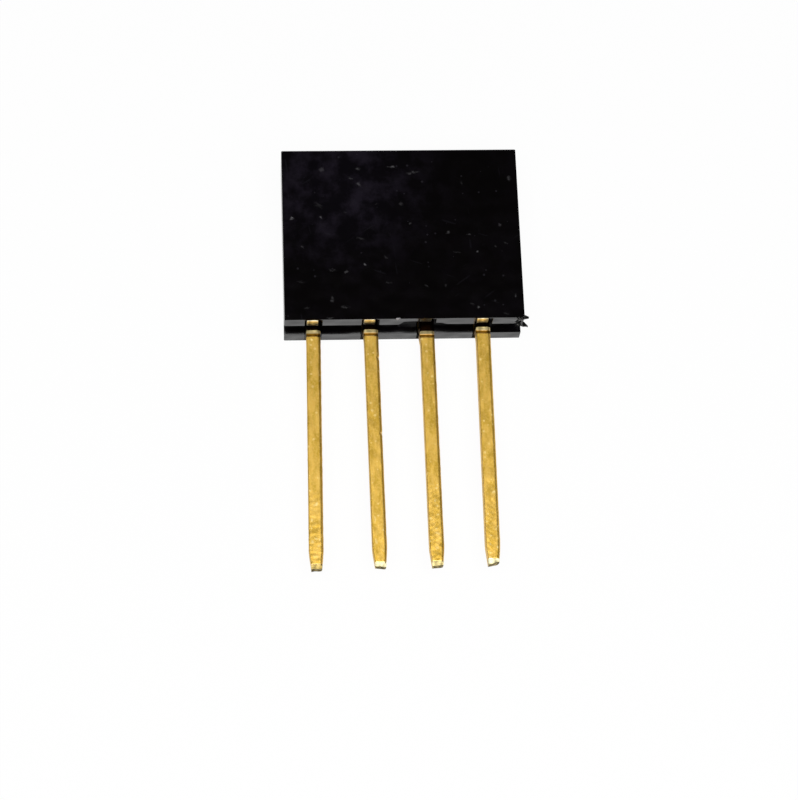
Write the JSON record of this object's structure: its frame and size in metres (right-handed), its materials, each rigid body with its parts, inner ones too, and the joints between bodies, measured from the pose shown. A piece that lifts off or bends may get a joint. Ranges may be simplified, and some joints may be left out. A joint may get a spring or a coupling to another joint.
{
  "type": "female pin header strip",
  "caption": "Single-row socket strip for square pins, with a black moulded housing and long square tails that pass through a board.",
  "frame": {"origin": "middle of the row of tails, where it crosses the seating plane under the housing's rails, at the middle of the housing's depth", "axes": "+X along the row, towards the end where the strip was cut off; +Y along the contacts, towards the socket mouths, with the tails towards -Y; +Z out of the front face, which looks up while the strip lies on its rear face"},
  "size_m": [0.0109, 0.0195, 0.0024],
  "materials": {
    "housing": "black moulded plastic, smooth, with fine scratches and dust",
    "contact": "thin gold plating over a copper alloy, satin"
  },
  "bodies": {
    "root": {"housing": "housing", "contact_1": "contact", "contact_2": "contact", "contact_3": "contact", "contact_4": "contact"}
  },
  "joints": []
}
